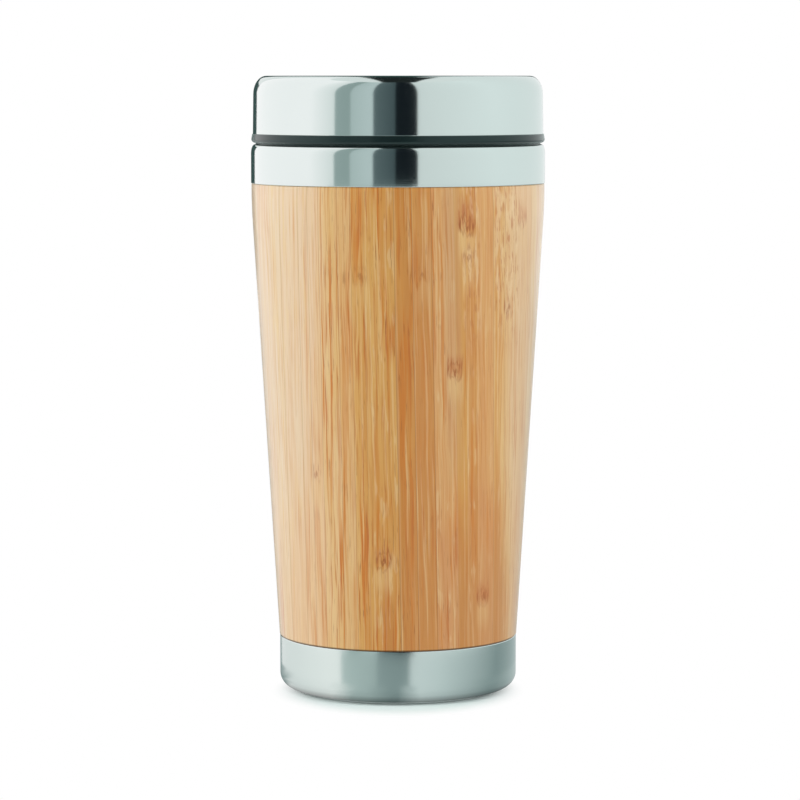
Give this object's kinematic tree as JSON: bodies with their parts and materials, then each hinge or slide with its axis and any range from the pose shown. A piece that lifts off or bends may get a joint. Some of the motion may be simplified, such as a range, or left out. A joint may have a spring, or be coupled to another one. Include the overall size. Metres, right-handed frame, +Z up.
{
  "type": "insulated tumbler",
  "caption": "Tapered double-walled steel tumbler in a bamboo sleeve, with a steel collar and base and a push-in steel-topped lid with a sliding sip closure.",
  "frame": {"origin": "centre of the foot, on the surface that the tumbler stands on", "axes": "+Z up along the tumbler's axis, -Y towards the sip hole, which is the pictured front, +X to the right"},
  "size_m": [0.084, 0.084, 0.176],
  "materials": {
    "polished_steel": "polished stainless steel",
    "satin_steel": "satin brushed stainless steel",
    "liner_steel": "drawn stainless steel, fine turned finish",
    "bamboo": "satin varnished laminated bamboo",
    "black_plastic": "satin moulded polypropylene",
    "silicone": "translucent silicone",
    "foot_rubber": "matt rubber"
  },
  "bodies": {
    "cup": {"foot_pad": "foot_rubber", "base_cap": "satin_steel", "outer_shell": "satin_steel", "inner_liner": "liner_steel", "bamboo_sleeve": "bamboo", "collar_band": "polished_steel"},
    "lid": {"lid_body": "black_plastic", "lid_cap": "polished_steel", "lid_seal": "silicone", "slider_track": "black_plastic"},
    "slider": {"slider": "black_plastic", "slider_seal": "silicone"}
  },
  "joints": [
    {"name": "lid_lift", "type": "slide", "parent": "cup", "child": "lid", "axis": [0, 0, 1], "range_m": [0, 0.1]},
    {"name": "slider_slide", "type": "slide", "parent": "lid", "child": "slider", "axis": [0, 1, 0], "range_m": [0, 0.015]}
  ]
}
